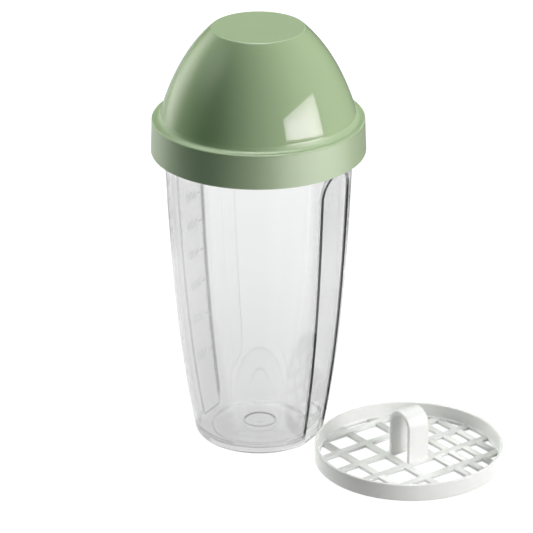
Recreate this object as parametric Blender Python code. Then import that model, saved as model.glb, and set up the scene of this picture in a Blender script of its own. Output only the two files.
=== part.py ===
"""Shaker cup: a clear tapering beaker, a domed push-on lid and a lift-out sieve that lies beside it.

Lengths are in metres, angles in degrees, +Z is up and the front is -Y. The cup and the lid are turned
around one upright axis. The sieve lies flat on the table, next to the cup's foot. The origin is the
middle of the floor area that cup and sieve cover together.
"""

import math

import bmesh
import bpy

# Clearances and turning
FIT_GAP = 0.0003
SIEVE_GAP = 0.0004
OVERRUN = 0.004
MERGE_DISTANCE = 0.000002
TURN_STEPS = 60
CORNER_STEPS = 3

# Sieve insert: a rim round a flat grid, with an arched strip to lift it by
SIEVE_RADIUS = 0.0435
SIEVE_HEIGHT = 0.0080
SIEVE_RIM_WALL = 0.0014
SIEVE_RIM_ROUNDING = 0.0005
SIEVE_FOOT_CHAMFER = 0.0003
GRID_THICKNESS = 0.0016
GRID_BORDER = 0.0010
GRID_BAR = 0.0037
GRID_FINE_BAR = 0.0035
ROW_OPENING = 0.0108
COARSE_OPENING = 0.0118
CENTRE_OPENING = 0.0136
FINE_OPENING = 0.0048
SMALLEST_OPENING = 0.0026
GRIP_DEPTH = 0.0115
GRIP_HEIGHT = 0.0237
GRIP_STRIP = 0.0019
GRIP_SETBACK = 0.0002
GRIP_EDGE = 0.0003
GRIP_ARC_STEPS = 12

# Cup: foot, tapering wall, grip panels and collar
FOOT_RADIUS = 0.0296
FOOT_EDGE = 0.0042
FOOT_RING_WIDTH = 0.0038
FOOT_RECESS_DEPTH = 0.0024
FOOT_RECESS_DRAFT = 0.0004
GATE_PIP_RADIUS = 0.0008
GATE_PIP_HEIGHT = 0.0005
FLOOR_THICKNESS = 0.0023
FLOOR_FILLET = 0.0030
FLOOR_RING_RADIUS = 0.00725
FLOOR_RING_WIDTH = 0.0013
FLOOR_RING_HEIGHT = 0.0004
CUP_WALL = 0.0018
WALL_HEIGHT = 0.1410
WALL_STEPS = 9
EVEN_TAPER_SHARE = 0.45
SEAT_WIDTH = 0.0028
SEAT_RISE = 0.0032
COLLAR_WALL = 0.0018
COLLAR_LIP_ROUNDING = 0.0005
PANEL_BEARING = 59.2
PANEL_HALF_ANGLE = 15.0
PANEL_DEPTH = 0.0015
PANEL_SPRING_HEIGHT = 0.1275
PANEL_ARCH_STEPS = 6

# Lid: skirt, ledge, plug lip and dome
PLUG_DEPTH = 0.0023
PLUG_WALL = 0.0014
LID_LEDGE_THICKNESS = 0.0020
SKIRT_WALL = 0.00245
SKIRT_HEIGHT = 0.0162
SKIRT_DRAFT = 0.0005
SKIRT_ROUNDING = 0.0007
DOME_RADIUS = 0.0447
DOME_LEAN = 16.0
DOME_HEIGHT = 0.0428
DOME_WALL = 0.0019
DOME_FOOT_FILLET = 0.0018
DOME_STEPS = 10
DOME_FULLNESS_SHARE = 0.65
LID_TOP_RADIUS = 0.0215
LID_TOP_ROUNDING = 0.0006

# Where the sieve lies
SIEVE_BEARING = 65.0
SIEVE_STANDOFF = 0.0013
GRID_BEARING = -53.5

# Fitted sizes: what seats in or on another piece follows it
MOUTH_RADIUS = SIEVE_RADIUS + SIEVE_GAP
COLLAR_RADIUS = MOUTH_RADIUS + COLLAR_WALL
WALL_TOP_RADIUS = MOUTH_RADIUS - SEAT_WIDTH + CUP_WALL
SEAT_HEIGHT = WALL_HEIGHT + SEAT_RISE
RIM_HEIGHT = SEAT_HEIGHT + SIEVE_HEIGHT + SIEVE_GAP + PLUG_DEPTH
FLOOR_HEIGHT = FOOT_RECESS_DEPTH + FLOOR_THICKNESS
LID_UNDERSIDE = RIM_HEIGHT + FIT_GAP
LEDGE_HEIGHT = LID_UNDERSIDE + LID_LEDGE_THICKNESS
SKIRT_INNER_RADIUS = COLLAR_RADIUS + FIT_GAP
SKIRT_TOP_RADIUS = SKIRT_INNER_RADIUS + SKIRT_WALL
SKIRT_FOOT_RADIUS = SKIRT_TOP_RADIUS + SKIRT_DRAFT
PLUG_RADIUS = MOUTH_RADIUS - FIT_GAP
DOME_FOOT_HEIGHT = LEDGE_HEIGHT + DOME_FOOT_FILLET * (1.0 - math.sin(math.radians(DOME_LEAN)))
TOP_HEIGHT = LEDGE_HEIGHT + DOME_HEIGHT


def clear_scene():
    """Empty the scene that Blender starts with."""
    for item in list(bpy.data.objects):
        bpy.data.objects.remove(item, do_unlink=True)


def make_material(name, colour, roughness, alpha=1.0):
    """A Principled plastic: base colour, roughness and, for the clear one, see-through alpha."""
    material = bpy.data.materials.new(name)
    material.use_nodes = True
    shader = material.node_tree.nodes["Principled BSDF"]
    shader.inputs["Base Color"].default_value = (*colour, 1.0)
    shader.inputs["Roughness"].default_value = roughness
    shader.inputs["Metallic"].default_value = 0.0
    shader.inputs["Alpha"].default_value = alpha
    return material


def make_empty(name, parent=None, location=(0.0, 0.0, 0.0), bearing=0.0):
    """An empty that places the pieces under it, turned by a bearing about the upright axis."""
    empty = bpy.data.objects.new(name, None)
    bpy.context.collection.objects.link(empty)
    empty.parent = parent
    empty.location = location
    empty.rotation_euler = (0.0, 0.0, math.radians(bearing))
    return empty


def make_object(name, mesh, parent, material=None):
    """Put a mesh into the scene under an empty."""
    piece = bpy.data.objects.new(name, mesh)
    bpy.context.collection.objects.link(piece)
    piece.parent = parent
    if material:
        mesh.materials.append(material)
    return piece


def make_cutter(name, mesh, parent):
    """A guide shape that only Boolean modifiers use."""
    cutter = make_object(name, mesh, parent)
    cutter.hide_render = True
    cutter.display_type = "WIRE"
    return cutter


def add_boolean(piece, other, operation):
    """Cut another shape out of a piece, or join it, or keep what they share."""
    modifier = piece.modifiers.new(f"{operation.lower()} {other.name}", "BOOLEAN")
    modifier.operation = operation
    modifier.object = other
    modifier.solver = "EXACT"


def smooth(mesh, angle=32.0):
    """Shade round surfaces smooth and keep edges sharper than the angle crisp."""
    mesh.shade_smooth()
    mesh.set_sharp_from_angle(angle=math.radians(angle))


def finish_mesh(name, shape):
    """Weld a closed bmesh, point its faces outwards and hand it over as a mesh."""
    bmesh.ops.remove_doubles(shape, verts=shape.verts, dist=MERGE_DISTANCE)
    bmesh.ops.recalc_face_normals(shape, faces=shape.faces)
    mesh = bpy.data.meshes.new(name)
    shape.to_mesh(mesh)
    shape.free()
    smooth(mesh)
    return mesh


def turned_mesh(name, profile):
    """Spin a profile of (radius, height) points, from axis to axis, once round the upright axis."""
    shape = bmesh.new()
    verts = [shape.verts.new((radius, 0.0, height)) for radius, height in profile]
    edges = [shape.edges.new(pair) for pair in zip(verts, verts[1:])]
    bmesh.ops.spin(
        shape,
        geom=verts + edges,
        cent=(0.0, 0.0, 0.0),
        axis=(0.0, 0.0, 1.0),
        dvec=(0.0, 0.0, 0.0),
        angle=math.tau,
        steps=TURN_STEPS,
        use_merge=True,
        use_duplicate=False,
    )
    return finish_mesh(name, shape)


def add_prism(shape, outline, direction):
    """Extrude a flat outline of 3-D points along a direction and leave it closed."""
    face = shape.faces.new([shape.verts.new(point) for point in outline])
    extruded = bmesh.ops.extrude_face_region(shape, geom=[face], use_keep_orig=True)
    moved = [item for item in extruded["geom"] if isinstance(item, bmesh.types.BMVert)]
    bmesh.ops.translate(shape, verts=moved, vec=direction)


def arc(centre_radius, centre_height, rounding, start, end, steps=CORNER_STEPS):
    """Points of a round corner between two angles: 0 points outwards and 90 points up."""
    points = []
    for step in range(steps + 1):
        angle = math.radians(start + (end - start) * step / steps)
        radius = centre_radius + rounding * math.cos(angle)
        height = centre_height + rounding * math.sin(angle)
        points.append((radius, height))
    return points


def wall_radius(height):
    """Outer radius of the cup's wall: an even taper mixed with one that eases out towards the top."""
    share = min(max(height / WALL_HEIGHT, 0.0), 1.0)
    eased = 1.0 - (1.0 - share) ** 3
    taper = EVEN_TAPER_SHARE * share + (1.0 - EVEN_TAPER_SHARE) * eased
    return FOOT_RADIUS + (WALL_TOP_RADIUS - FOOT_RADIUS) * taper


def wall_heights(start):
    """Heights at which the wall's curve is followed, from a start up to its top."""
    return [start + (WALL_HEIGHT - start) * step / WALL_STEPS for step in range(WALL_STEPS + 1)]


def beaker_profile():
    """Outside of the cup: recessed underside, contact ring, tapering wall, collar and its lip."""
    foot_centre = wall_radius(FOOT_EDGE) - FOOT_EDGE
    recess_radius = foot_centre - FOOT_RING_WIDTH
    pip_height = FOOT_RECESS_DEPTH - GATE_PIP_HEIGHT
    profile = [
        (0.0, pip_height),
        (GATE_PIP_RADIUS, pip_height),
        (GATE_PIP_RADIUS, FOOT_RECESS_DEPTH),
        (recess_radius - FOOT_RECESS_DRAFT, FOOT_RECESS_DEPTH),
        (recess_radius, 0.0),
    ]
    profile += arc(foot_centre, FOOT_EDGE, FOOT_EDGE, -90.0, 0.0)
    profile += [(wall_radius(height), height) for height in wall_heights(FOOT_EDGE)[1:]]
    shoulder_height = WALL_HEIGHT + COLLAR_RADIUS - WALL_TOP_RADIUS
    profile.append((COLLAR_RADIUS, shoulder_height))
    lip_radius = COLLAR_RADIUS - COLLAR_LIP_ROUNDING
    lip_height = RIM_HEIGHT - COLLAR_LIP_ROUNDING
    profile += arc(lip_radius, lip_height, COLLAR_LIP_ROUNDING, 0.0, 90.0)
    profile.append((0.0, RIM_HEIGHT))
    return profile


def cavity_profile():
    """Inside of the cup: floor with its moulded ring, fillet, wall, seat for the sieve and mouth."""
    ring_inner = FLOOR_RING_RADIUS - FLOOR_RING_WIDTH / 2
    ring_outer = FLOOR_RING_RADIUS + FLOOR_RING_WIDTH / 2
    ring_flank = FLOOR_RING_WIDTH / 4
    ring_height = FLOOR_HEIGHT + FLOOR_RING_HEIGHT
    fillet_height = FLOOR_HEIGHT + FLOOR_FILLET
    fillet_centre = wall_radius(fillet_height) - CUP_WALL - FLOOR_FILLET
    profile = [
        (0.0, FLOOR_HEIGHT),
        (ring_inner, FLOOR_HEIGHT),
        (ring_inner + ring_flank, ring_height),
        (ring_outer - ring_flank, ring_height),
        (ring_outer, FLOOR_HEIGHT),
    ]
    profile += arc(fillet_centre, fillet_height, FLOOR_FILLET, -90.0, 0.0)
    profile += [(wall_radius(height) - CUP_WALL, height) for height in wall_heights(fillet_height)[1:]]
    profile += [
        (WALL_TOP_RADIUS - CUP_WALL, SEAT_HEIGHT),
        (MOUTH_RADIUS, SEAT_HEIGHT),
        (MOUTH_RADIUS, RIM_HEIGHT + OVERRUN),
        (0.0, RIM_HEIGHT + OVERRUN),
    ]
    return profile


def panel_sections(inset, floor):
    """Cross-sections of a grip panel's cutter: height, distance of its flat face and half width.

    The sides keep a constant angle, so the panel narrows with the wall, and close in a round arch.
    The inset is 0 outside and the wall inside, and inside the face swells into the floor's fillet.
    """
    half_angle = math.radians(PANEL_HALF_ANGLE)
    arch_radius = wall_radius(PANEL_SPRING_HEIGHT) * math.sin(half_angle) + inset

    def face(height):
        above_floor = max(height - floor, 0.0)
        swell = 0.0
        if inset and above_floor < FLOOR_FILLET:
            swell = FLOOR_FILLET - math.sqrt(FLOOR_FILLET ** 2 - (FLOOR_FILLET - above_floor) ** 2)
        return wall_radius(height) * math.cos(half_angle) - PANEL_DEPTH - inset - swell

    heights = [floor - OVERRUN]
    if inset:
        heights += [floor + FLOOR_FILLET * step / CORNER_STEPS for step in range(CORNER_STEPS)]
        start = floor + FLOOR_FILLET
    else:
        start = floor
    rise = PANEL_SPRING_HEIGHT - start
    heights += [start + rise * step / WALL_STEPS for step in range(WALL_STEPS + 1)]
    sections = []
    for height in heights:
        sections.append((height, face(height), wall_radius(height) * math.sin(half_angle) + inset))
    for step in range(1, PANEL_ARCH_STEPS + 1):
        angle = math.pi / 2 * step / PANEL_ARCH_STEPS
        height = PANEL_SPRING_HEIGHT + arch_radius * math.sin(angle)
        half_width = arch_radius * math.cos(angle) if step < PANEL_ARCH_STEPS else 0.0
        sections.append((height, face(height), half_width))
    return sections


def panel_mesh(name, inset, floor):
    """Skin the panel's cross-sections into one closed cutter that reaches out past the wall."""
    reach = WALL_TOP_RADIUS + OVERRUN
    shape = bmesh.new()
    loops = []
    for height, face, half_width in panel_sections(inset, floor):
        corners = [(face, -half_width), (reach, -half_width), (reach, half_width), (face, half_width)]
        loops.append([shape.verts.new((out, side, height)) for out, side in corners])
    shape.faces.new(loops[0])
    for lower, upper in zip(loops, loops[1:]):
        for corner in range(4):
            after = (corner + 1) % 4
            shape.faces.new((lower[corner], lower[after], upper[after], upper[corner]))
    return finish_mesh(name, shape)


def build_cup(place, material):
    """The clear beaker: outside minus inside, with two opposite grip panels pressed into both."""
    cup = make_object("cup", turned_mesh("cup", beaker_profile()), place, material)
    cavity = make_cutter("cup_cavity", turned_mesh("cup_cavity", cavity_profile()), place)
    outer_mesh = panel_mesh("panel_outside", 0.0, 0.0)
    inner_mesh = panel_mesh("panel_inside", CUP_WALL, FLOOR_HEIGHT)
    for side, bearing in (("near", PANEL_BEARING), ("far", PANEL_BEARING + 180.0)):
        turn = make_empty(f"panel_turn_{side}", place, bearing=bearing - 90.0)
        add_boolean(cavity, make_cutter(f"panel_inside_{side}", inner_mesh, turn), "DIFFERENCE")
        add_boolean(cup, make_cutter(f"panel_outside_{side}", outer_mesh, turn), "DIFFERENCE")
    add_boolean(cup, cavity, "DIFFERENCE")
    return cup


def dome_curve():
    """Outer outline of the dome, top to foot: a quadratic curve whose foot leans inwards."""
    pull_rise = (TOP_HEIGHT - LID_TOP_ROUNDING - DOME_FOOT_HEIGHT) * DOME_FULLNESS_SHARE
    pull_radius = DOME_RADIUS - pull_rise * math.tan(math.radians(DOME_LEAN))
    start = (LID_TOP_RADIUS, TOP_HEIGHT - LID_TOP_ROUNDING)
    pull = (pull_radius, DOME_FOOT_HEIGHT + pull_rise)
    end = (DOME_RADIUS, DOME_FOOT_HEIGHT)
    points = []
    for step in range(DOME_STEPS + 1):
        share = step / DOME_STEPS
        weights = ((1.0 - share) ** 2, 2.0 * share * (1.0 - share), share ** 2)
        points.append(tuple(
            weights[0] * start[axis] + weights[1] * pull[axis] + weights[2] * end[axis] for axis in (0, 1)
        ))
    return points


def inset_curve(points, distance):
    """Move an outline inwards by a distance, square to itself at each point."""
    moved = []
    for index, (radius, height) in enumerate(points):
        before = points[max(index - 1, 0)]
        after = points[min(index + 1, len(points) - 1)]
        along = (after[0] - before[0], after[1] - before[1])
        length = math.hypot(*along)
        moved.append((radius + along[1] / length * distance, height - along[0] / length * distance))
    return moved


def lid_profile():
    """Section of the lid: flat top, dome, ledge and skirt outside; skirt, plug lip and dome inside."""
    dome = dome_curve()
    top_rounding_radius = LID_TOP_RADIUS - LID_TOP_ROUNDING
    top_corner = arc(top_rounding_radius, TOP_HEIGHT - LID_TOP_ROUNDING, LID_TOP_ROUNDING, 90.0, 30.0)
    profile = [(0.0, TOP_HEIGHT)] + top_corner + dome
    fillet_radius = DOME_RADIUS + DOME_FOOT_FILLET * math.cos(math.radians(DOME_LEAN))
    fillet_height = LEDGE_HEIGHT + DOME_FOOT_FILLET
    profile += arc(fillet_radius, fillet_height, DOME_FOOT_FILLET, 180.0 + DOME_LEAN, 270.0)[1:]
    skirt_foot = LEDGE_HEIGHT - SKIRT_HEIGHT
    shoulder_centre = SKIRT_TOP_RADIUS - SKIRT_ROUNDING
    profile += arc(shoulder_centre, LEDGE_HEIGHT - SKIRT_ROUNDING, SKIRT_ROUNDING, 90.0, 0.0)
    hem_centre = SKIRT_FOOT_RADIUS - SKIRT_ROUNDING
    profile += arc(hem_centre, skirt_foot + SKIRT_ROUNDING, SKIRT_ROUNDING, 0.0, -90.0)
    profile += [
        (SKIRT_INNER_RADIUS, skirt_foot),
        (SKIRT_INNER_RADIUS, LID_UNDERSIDE),
        (PLUG_RADIUS, LID_UNDERSIDE),
        (PLUG_RADIUS, RIM_HEIGHT - PLUG_DEPTH),
        (PLUG_RADIUS - PLUG_WALL, RIM_HEIGHT - PLUG_DEPTH),
        (PLUG_RADIUS - PLUG_WALL, LID_UNDERSIDE),
    ]
    inside = [point for point in inset_curve(dome, DOME_WALL) if point[1] < TOP_HEIGHT - DOME_WALL]
    profile += reversed(inside)
    profile.append((inside[0][0] - DOME_WALL / 2, TOP_HEIGHT - DOME_WALL))
    profile.append((0.0, TOP_HEIGHT - DOME_WALL))
    return profile


def build_lid(place, material):
    """The domed lid, pushed onto the cup's collar."""
    return make_object("lid", turned_mesh("lid", lid_profile()), place, material)


def sieve_profile():
    """Section of the sieve before its grid is cut: flat disc, upright rim with a round top."""
    rounding_height = SIEVE_HEIGHT - SIEVE_RIM_ROUNDING
    inner_radius = SIEVE_RADIUS - SIEVE_RIM_WALL
    profile = [
        (0.0, 0.0),
        (SIEVE_RADIUS - SIEVE_FOOT_CHAMFER, 0.0),
        (SIEVE_RADIUS, SIEVE_FOOT_CHAMFER),
    ]
    profile += arc(SIEVE_RADIUS - SIEVE_RIM_ROUNDING, rounding_height, SIEVE_RIM_ROUNDING, 0.0, 90.0)
    profile += arc(inner_radius + SIEVE_RIM_ROUNDING, rounding_height, SIEVE_RIM_ROUNDING, 90.0, 180.0)
    profile += [(inner_radius, GRID_THICKNESS), (0.0, GRID_THICKNESS)]
    return profile


def grid_columns():
    """Spans of the grid's columns: coarse on one half, one wide one under the grip, fine on the other."""
    coarse_pitch = COARSE_OPENING + GRID_BAR
    fine_pitch = FINE_OPENING + GRID_FINE_BAR
    left = -COARSE_OPENING / 2
    right = left + CENTRE_OPENING
    columns = [(left, right)]
    for column in range(1, math.ceil(SIEVE_RADIUS / coarse_pitch) + 1):
        columns.append((left - column * coarse_pitch, left - column * coarse_pitch + COARSE_OPENING))
    first = right + GRID_BAR
    for column in range(math.ceil((SIEVE_RADIUS - first) / fine_pitch)):
        columns.append((first + column * fine_pitch, first + column * fine_pitch + FINE_OPENING))
    return columns


def grid_rows():
    """Spans of the grid's rows, one of them centred under the grip."""
    pitch = ROW_OPENING + GRID_BAR
    count = math.ceil(SIEVE_RADIUS / pitch)
    return [(row * pitch - ROW_OPENING / 2, row * pitch + ROW_OPENING / 2) for row in range(-count, count + 1)]


def nearest_to_axis(span):
    """Smallest distance from the middle line to a span."""
    low, high = span
    return max(low, -high, 0.0)


def grid_mesh(name):
    """One upright prism for each opening that leaves more than a sliver inside the grid's border."""
    border = SIEVE_RADIUS - SIEVE_RIM_WALL - GRID_BORDER
    shape = bmesh.new()
    for row in grid_rows():
        for column in grid_columns():
            distance = math.hypot(nearest_to_axis(row), nearest_to_axis(column))
            if distance + SMALLEST_OPENING > border:
                continue
            outline = [
                (row[0], column[0], -OVERRUN),
                (row[1], column[0], -OVERRUN),
                (row[1], column[1], -OVERRUN),
                (row[0], column[1], -OVERRUN),
            ]
            add_prism(shape, outline, (0.0, 0.0, GRID_THICKNESS + 2 * OVERRUN))
    return finish_mesh(name, shape)


def border_profile():
    """A disc as wide as the grid's openings may reach, deeper than the grid."""
    border = SIEVE_RADIUS - SIEVE_RIM_WALL - GRID_BORDER
    low = -OVERRUN / 2
    high = GRID_THICKNESS + SIEVE_HEIGHT / 4
    return [(0.0, low), (border, low), (border, high), (0.0, high)]


def grip_mesh(name):
    """The strip of the grip: two legs and a half-round top, drawn across the middle of the sieve."""
    inner_half = ROW_OPENING / 2 + GRIP_SETBACK
    outer_half = inner_half + GRIP_STRIP
    spring_height = GRID_THICKNESS + GRIP_HEIGHT - outer_half
    outline = [(outer_half, GRID_THICKNESS / 2)]
    outline += arc(0.0, spring_height, outer_half, 0.0, 180.0, GRIP_ARC_STEPS)
    outline += [(-outer_half, GRID_THICKNESS / 2), (-inner_half, GRID_THICKNESS / 2)]
    outline += arc(0.0, spring_height, inner_half, 180.0, 0.0, GRIP_ARC_STEPS)
    outline.append((inner_half, GRID_THICKNESS / 2))
    shape = bmesh.new()
    add_prism(shape, [(along, -GRIP_DEPTH / 2, height) for along, height in outline], (0.0, GRIP_DEPTH, 0.0))
    return finish_mesh(name, shape)


def build_sieve(place, material):
    """The white sieve: disc and rim, joined to the grip, with the grid's openings cut through."""
    sieve = make_object("sieve_insert", turned_mesh("sieve_insert", sieve_profile()), place, material)
    grip = make_cutter("sieve_grip", grip_mesh("sieve_grip"), place)
    rounding = grip.modifiers.new("soft edges", "BEVEL")
    rounding.width = GRIP_EDGE
    rounding.segments = 1
    rounding.limit_method = "ANGLE"
    rounding.angle_limit = math.radians(60.0)
    openings = make_cutter("sieve_openings", grid_mesh("sieve_openings"), place)
    border = make_cutter("sieve_border", turned_mesh("sieve_border", border_profile()), place)
    add_boolean(openings, border, "INTERSECT")
    add_boolean(sieve, grip, "UNION")
    add_boolean(sieve, openings, "DIFFERENCE")
    return sieve


def sieve_centre():
    """Where the sieve lies beside the cup: its rim just clear of the wall that leans over it."""
    distance = wall_radius(SIEVE_HEIGHT) + SIEVE_STANDOFF + SIEVE_RADIUS
    bearing = math.radians(SIEVE_BEARING)
    return distance * math.sin(bearing), -distance * math.cos(bearing)


def cup_place():
    """Where the cup's axis stands when the origin is the middle of the floor area covered."""
    sieve_x, sieve_y = sieve_centre()
    middle_x = (sieve_x + SIEVE_RADIUS - SKIRT_FOOT_RADIUS) / 2
    middle_y = (sieve_y - SIEVE_RADIUS + SKIRT_FOOT_RADIUS) / 2
    return -middle_x, -middle_y, 0.0


def main():
    """Build the three pieces, each under the empty that places it."""
    clear_scene()
    clear_plastic = make_material("clear plastic", (0.90, 0.91, 0.92), 0.08, alpha=0.3)
    green_plastic = make_material("green plastic", (0.30, 0.45, 0.24), 0.28)
    white_plastic = make_material("white plastic", (0.74, 0.74, 0.70), 0.40)
    cup_axis = make_empty("cup_axis", location=cup_place())
    sieve_axis = make_empty("sieve_axis", cup_axis, (*sieve_centre(), 0.0), GRID_BEARING)
    build_cup(cup_axis, clear_plastic)
    build_lid(cup_axis, green_plastic)
    build_sieve(sieve_axis, white_plastic)


main()
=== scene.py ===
"""Shaker cup: clear beaker, green domed lid and white lift-out sieve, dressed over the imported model.

Lengths are in metres, angles in degrees, +Z is up and the viewer stands at -Y. A bearing is counted from
the front, -Y, towards +X. Every shape is worked out with numpy as rings of points and skinned into a
closed mesh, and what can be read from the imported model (axes, rim, lid and sieve) is read from it.
"""

import math

import bpy
import numpy as np
from mathutils import Matrix, Vector


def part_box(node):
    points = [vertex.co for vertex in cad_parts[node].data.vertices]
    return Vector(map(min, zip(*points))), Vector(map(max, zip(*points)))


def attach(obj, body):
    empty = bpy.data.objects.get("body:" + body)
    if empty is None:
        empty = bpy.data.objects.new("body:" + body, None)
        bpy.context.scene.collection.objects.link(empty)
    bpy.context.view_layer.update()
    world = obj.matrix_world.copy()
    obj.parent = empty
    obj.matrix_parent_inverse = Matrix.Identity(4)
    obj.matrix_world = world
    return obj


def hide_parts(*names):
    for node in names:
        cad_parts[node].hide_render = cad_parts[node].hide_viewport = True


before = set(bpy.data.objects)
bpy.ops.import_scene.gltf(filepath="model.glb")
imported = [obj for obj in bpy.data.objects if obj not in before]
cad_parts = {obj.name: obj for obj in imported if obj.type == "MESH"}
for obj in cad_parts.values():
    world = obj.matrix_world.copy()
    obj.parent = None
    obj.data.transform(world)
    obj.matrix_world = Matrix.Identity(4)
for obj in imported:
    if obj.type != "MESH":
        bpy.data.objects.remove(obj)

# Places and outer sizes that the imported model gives
CUP_LOW, CUP_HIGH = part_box("cup")
LID_LOW, LID_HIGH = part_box("lid")
SIEVE_LOW, SIEVE_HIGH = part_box("sieve_insert")
CUP_AXIS = (LID_LOW + LID_HIGH) / 2
SIEVE_AXIS = (SIEVE_LOW + SIEVE_HIGH) / 2
COLLAR_RADIUS = (CUP_HIGH.x - CUP_LOW.x) / 2
RIM_HEIGHT = CUP_HIGH.z
SKIRT_FOOT_RADIUS = (LID_HIGH.x - LID_LOW.x) / 2
SKIRT_FOOT = LID_LOW.z
TOP_HEIGHT = LID_HIGH.z
SIEVE_RADIUS = (SIEVE_HIGH.x - SIEVE_LOW.x) / 2
GRIP_TOP = SIEVE_HIGH.z

# Cup
FOOT_RADIUS = 0.0296
FOOT_EDGE = 0.0042
FOOT_RING_WIDTH = 0.0038
FOOT_RECESS_DEPTH = 0.0024
FOOT_RECESS_ROUNDING = 0.0006
GATE_PIP_RADIUS = 0.0009
GATE_PIP_HEIGHT = 0.0005
GATE_PIP_ROUNDING = 0.0002
FLOOR_HEIGHT = 0.0047
FLOOR_FILLET = 0.0030
FLOOR_BEAD_RADIUS = 0.00725
FLOOR_BEAD_WIDTH = 0.0013
FLOOR_BEAD_HEIGHT = 0.0004
CUP_WALL = 0.0018
WALL_HEIGHT = 0.1410
WALL_TOP_RADIUS = 0.0429
EVEN_TAPER_SHARE = 0.45
MOUTH_RADIUS = COLLAR_RADIUS - CUP_WALL
SEAT_RISE = 0.0032
LIP_ROUNDING = 0.0005
SEAT_ROUNDING = 0.0005

# Grip panels, sunk into both faces of the cup's wall
PANEL_BEARING = 59.2
PANEL_HALF_ANGLE = 15.0
PANEL_DEPTH = 0.0015
PANEL_SPRING = 0.1275
PANEL_STEP = 0.0007
PANEL_STEP_INSIDE = 0.0008
PANEL_SPREAD_INSIDE = 0.0009
PANEL_SIDE_COSINE = 0.5
FAR_OUTSIDE = -1.0

# Painted shade of the cup, dark lines that stand in for the darkness of refraction in the panels' steps
# and the floor's bead and for the foot's contact shadow: where each starts and ends, as distances inwards
# from a panel's edge, as heights at the foot and as distances from the crest of the floor's bead, and the
# cosines that end the last two
NEAR_LEFT_SHADE = (-0.0018, -0.0003)
NEAR_RIGHT_SHADE = (-0.00042, 0.0)
FAR_SHADE = (-0.0011, 0.0001)
FOOT_SHADE = (0.0003, 0.0017)
FOOT_SHADE_SHARE = 0.8
BEAD_SHADE = (-0.00060, 0.00060)
SHADE_BLUR = 0.00018
INSIDE_SHADE_SHARE = 0.9
COSINE_BLUR = 0.5
BEHIND_LIMIT = 0.15

# Volume scale on the far grip panel
SCALE_START = 0.000047
SCALE_STEP = 0.0000336
SCALE_TICKS = 13
SCALE_OVERLAP = 0.0009
SHORT_TICK = 0.0034
LONG_TICK = 0.0058
TICK_WIDTH = 0.0006
RELIEF = 0.00025
TICK_PLACE_SHARES = (0.0, 0.04, 0.12, 0.5, 0.88, 0.96, 1.0)
TICK_SIZE_SHARES = (0.15, 0.6, 1.0, 1.0, 1.0, 0.6, 0.15)
NUMBER_HEIGHT = 0.0042
DIGIT_SHARE = 0.7
NUMBER_RELIEF = 0.00010
NUMBER_GAP = 0.0009
NUMBER_STEP = 100

# Lid
PLUG_DEPTH = 0.0023
PLUG_WALL = 0.0014
FIT_GAP = 0.0003
LEDGE_THICKNESS = 0.0020
SKIRT_WALL = 0.00245
SKIRT_DRAFT = 0.0005
SKIRT_ROUNDING = 0.0007
DOME_RADIUS = 0.0447
DOME_LEAN = 16.0
DOME_WALL = 0.0019
DOME_FILLET = 0.0018
DOME_FULLNESS_SHARE = 0.65
LID_TOP_RADIUS = 0.0215
LID_TOP_ROUNDING = 0.0012
LID_TOP_SLOPE = 42.0
LEDGE_HEIGHT = RIM_HEIGHT + FIT_GAP + LEDGE_THICKNESS

# Sieve
SIEVE_HEIGHT = 0.0080
SIEVE_RIM_WALL = 0.0014
SIEVE_RIM_ROUNDING = 0.0005
GRID_BORDER = 0.0010
GRID_THICKNESS = 0.0016
GRID_BAR = 0.0037
GRID_FINE_BAR = 0.0035
GRID_ROUNDING = 0.00035
FLUSH_GAP = 0.00002
ROW_OPENING = 0.0108
COARSE_OPENING = 0.0118
CENTRE_OPENING = 0.0136
FINE_OPENING = 0.0048
SMALLEST_OPENING = 0.0026
GRID_BEARING = -53.5
GRIP_DEPTH = 0.0115
GRIP_STRIP = 0.0019
GRIP_SETBACK = 0.0002
GRIP_ROUNDING = 0.0005

# Mesh fineness
AROUND = 180
CORNER_STEPS = 6
FLAT_MARGIN = 0.0003
TICK_POINTS = 12
WEB_POINTS = 12
BEAD_POINTS = 9
GRIP_POINTS = 33
VOLUME_SLICES = 400
ARCH_MARGIN = 0.0012
LOW_WALL_ROWS = 30
ARCH_ROWS = 36

# Columns of the cup's mesh, in degrees: even ones, and close ones on each panel's face and at its edges
COLUMN_STEP = 3.0
FACE_REACH = 14.0
FACE_COLUMNS = 47
EDGE_START = 14.2
EDGE_MIDDLE = 16.2
EDGE_END = 20.4
EDGE_CLOSE_STEP = 0.2
EDGE_WIDE_STEP = 0.28
PANEL_CLEARING = 20.6

# Materials: colours, in pairs where they are clouded, with the near-black colour of the cup's painted
# shade, how opaque the clear plastic is, the bounds of the lid's satin as distances below and above its
# ledge and below its top, and the depths of the grain
CLEAR_COLOUR = (0.93, 0.93, 0.935, 1.0)
PAINTED_SHADE_COLOUR = (0.0004, 0.0004, 0.0006, 1.0)
CLEAR_ALPHA = 0.80
RELIEF_COLOUR = (0.95, 0.95, 0.96, 1.0)
GREEN_COLOURS = ((0.378, 0.462, 0.286, 1.0), (0.393, 0.481, 0.301, 1.0))
GREEN_GLOW = (0.0, 1.0, 0.12, 1.0)
WHITE_COLOURS = ((0.75, 0.75, 0.735, 1.0), (0.78, 0.78, 0.765, 1.0))
SKIRT_BAND = (0.0012, 0.0004)
LEDGE_BAND = (0.0018, 0.0030)
TOP_BAND = (0.0003, 0.0001)
GREEN_GRAIN = 0.00006
WHITE_GRAIN = 0.00003

# Lights: distance of the soft boxes, the room's colour, its level for the clear plastic, the sieve's lamp
BOX_DISTANCE = 1.0
WHITE = (1.0, 1.0, 1.0)
ROOM_COLOUR = (0.004, 0.010, 0.006, 1.0)
CLEAR_GLOW = 0.50
SIEVE_LAMP_OFFSET = (-0.15, -0.60, 0.79)
SIEVE_LAMP_SIZE = (0.08, 0.08)
SIEVE_LAMP_SPREAD = 12.0
SIEVE_LAMP_POWER = 0.017

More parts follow.
